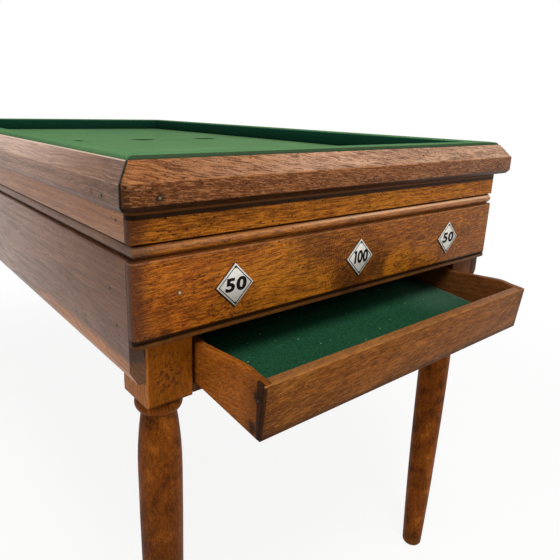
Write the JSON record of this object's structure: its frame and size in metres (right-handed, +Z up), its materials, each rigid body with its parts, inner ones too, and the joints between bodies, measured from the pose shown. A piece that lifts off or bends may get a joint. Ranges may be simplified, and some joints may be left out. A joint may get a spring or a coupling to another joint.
{
  "type": "bar billiards table",
  "caption": "Oak bar billiards table: cloth bed with ball holes, cushioned bevelled rails, number plates, turned legs and a sloping ball drawer fed by an inner ramp.",
  "frame": {"origin": "on the floor under the middle of the cabinet, between the four feet", "axes": "+X to the player's right, +Y from the player's end to the back, +Z up"},
  "size_m": [0.7856, 1.4544, 0.9152],
  "materials": {
    "oak": "worn satin varnish",
    "pine": "unfinished",
    "plywood": "unfinished",
    "cushion_cloth": "rubber strip covered in green cloth",
    "bed_cloth": "napped cloth",
    "drawer_baize": "worn baize",
    "plate": "dull, printed number",
    "nail": "dark, rusted"
  },
  "bodies": {
    "cabinet": {"rail_front": "oak", "cushion_front": "cushion_cloth", "fascia_front": "oak", "bead_front": "oak", "apron_front": "oak", "rail_right": "oak", "cushion_right": "cushion_cloth", "fascia_right": "oak", "bead_right": "oak", "apron_right": "oak", "rail_back": "oak", "cushion_back": "cushion_cloth", "fascia_back": "oak", "bead_back": "oak", "apron_back": "oak", "rail_left": "oak", "cushion_left": "cushion_cloth", "fascia_left": "oak", "bead_left": "oak", "apron_left": "oak", "leg_front_left": "oak", "corner_block_front_left": "pine", "leg_front_right": "oak", "corner_block_front_right": "pine", "leg_back_left": "oak", "corner_block_back_left": "pine", "leg_back_right": "oak", "corner_block_back_right": "pine", "bed_board": "pine", "bed_cloth": "bed_cloth", "bed_ledger_left": "pine", "ramp_guide_left": "pine", "drawer_runner_left": "pine", "bed_ledger_right": "pine", "ramp_guide_right": "pine", "drawer_runner_right": "pine", "bed_bearer_front": "pine", "cross_board_front": "pine", "bed_bearer_back": "pine", "cross_board_back": "pine", "ball_ramp": "plywood", "ramp_back_board": "pine", "plate_left": "plate", "plate_middle": "plate", "plate_right": "plate", "rail_nails": "nail", "apron_nails": "nail", "plate_nails": "nail"},
    "drawer": {"drawer_front": "oak", "drawer_back": "oak", "drawer_side_left": "oak", "drawer_stop_left": "pine", "drawer_side_right": "oak", "drawer_stop_right": "pine", "drawer_bottom": "plywood", "drawer_baize": "drawer_baize", "drawer_nails": "nail"}
  },
  "joints": [
    {"name": "drawer_slide", "type": "slide", "parent": "cabinet", "child": "drawer", "axis": [0, -0.9945, -0.1045], "range_m": [-0.126, 0.09]}
  ]
}
